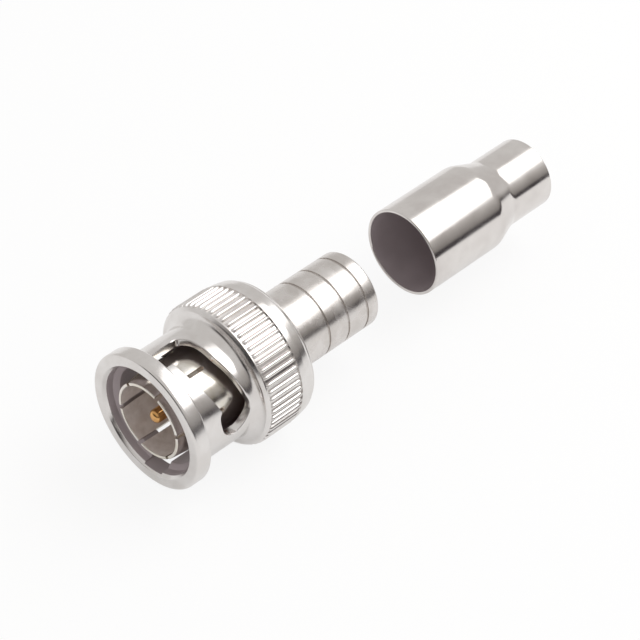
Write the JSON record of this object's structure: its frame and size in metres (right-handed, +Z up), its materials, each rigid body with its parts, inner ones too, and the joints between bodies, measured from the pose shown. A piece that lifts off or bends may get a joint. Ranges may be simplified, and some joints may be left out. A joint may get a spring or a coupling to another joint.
{
  "type": "bnc connector",
  "caption": "Bayonet plug for coaxial cable with a knurled coupling nut, a grooved crimp barrel and its loose two-step crimp ferrule.",
  "frame": {"origin": "centre of the plug's mouth, on the axis, in the plane of the coupling nut's front face", "axes": "+X along the plug from the mouth towards the cable end, +Z up as the plug lies on its knurled nut"},
  "size_m": [0.0507, 0.0144, 0.0144],
  "materials": {
    "bright_nickel": "polished",
    "contact_nickel": "gloss",
    "ferrule_nickel": "gloss",
    "washer_nickel": "satin",
    "spring_bronze": "satin",
    "gold_plate": "gloss",
    "white_insulator": "matte",
    "silicone_rubber": "matte"
  },
  "bodies": {
    "plug": {"connector_body": "bright_nickel", "outer_contact": "contact_nickel", "insulator": "white_insulator", "centre_pin": "gold_plate", "gasket": "silicone_rubber", "front_washer": "washer_nickel", "front_wave_spring": "spring_bronze", "rear_wave_spring": "spring_bronze"},
    "pressure_washer": {"rear_washer": "washer_nickel"},
    "nut": {"coupling_nut": "bright_nickel", "retaining_ring": "spring_bronze"},
    "ferrule": {"crimp_ferrule": "ferrule_nickel"}
  },
  "joints": [
    {"name": "nut_slide", "type": "slide", "parent": "plug", "child": "pressure_washer", "axis": [-1, 0, 0], "range_m": [0, 0.0008], "stiffness_N_per_m": 300, "springref_m": -0.0006, "deforming": ["front_wave_spring", "rear_wave_spring"]},
    {"name": "nut_spin", "type": "hinge", "parent": "pressure_washer", "child": "nut", "pos_m": [0.0105, 0, 0], "axis": [-1, 0, 0], "continuous": true},
    {"name": "ferrule_slide", "type": "slide", "parent": "plug", "child": "ferrule", "axis": [-1, 0, 0], "range_m": [0, 0.0172]}
  ]
}
